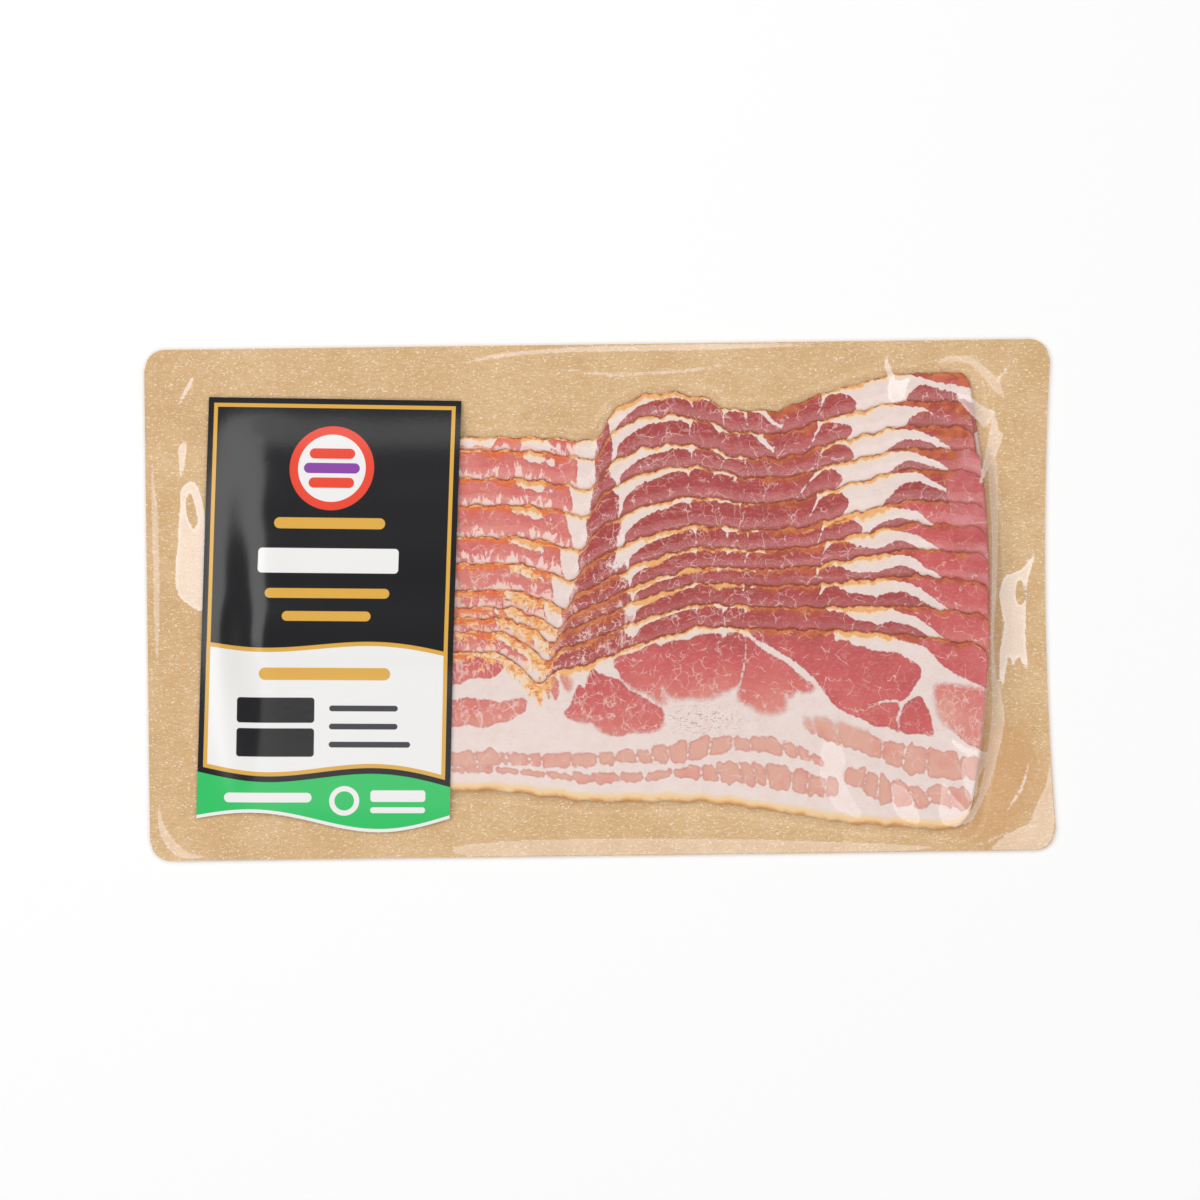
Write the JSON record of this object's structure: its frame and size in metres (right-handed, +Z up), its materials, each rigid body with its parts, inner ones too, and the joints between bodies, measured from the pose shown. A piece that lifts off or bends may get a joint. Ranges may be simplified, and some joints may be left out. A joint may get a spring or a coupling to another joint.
{
  "type": "bacon pack",
  "caption": "Flat skin pack of sliced bacon: slices shingled on a kraft paper board under a clear film, with a printed label over their left ends.",
  "frame": {"origin": "under the middle of the board, on the surface that the pack lies on", "axes": "+X along the board from the label to the bare end, +Y across the board towards the rearmost slice, +Z up out of the shown face"},
  "size_m": [0.28, 0.158, 0.0126],
  "materials": {
    "board": "kraft paper, fibrous, matt",
    "meat": "moist cured pork belly, lean and fat",
    "film": "clear glossy plastic film",
    "label": "printed, satin"
  },
  "bodies": {
    "root": {"board": "board", "slice_01": "meat", "slice_02": "meat", "slice_03": "meat", "slice_04": "meat", "slice_05": "meat", "slice_06": "meat", "slice_07": "meat", "slice_08": "meat", "slice_09": "meat", "slice_10": "meat", "slice_11": "meat", "film": "film", "label": "label"}
  },
  "joints": []
}
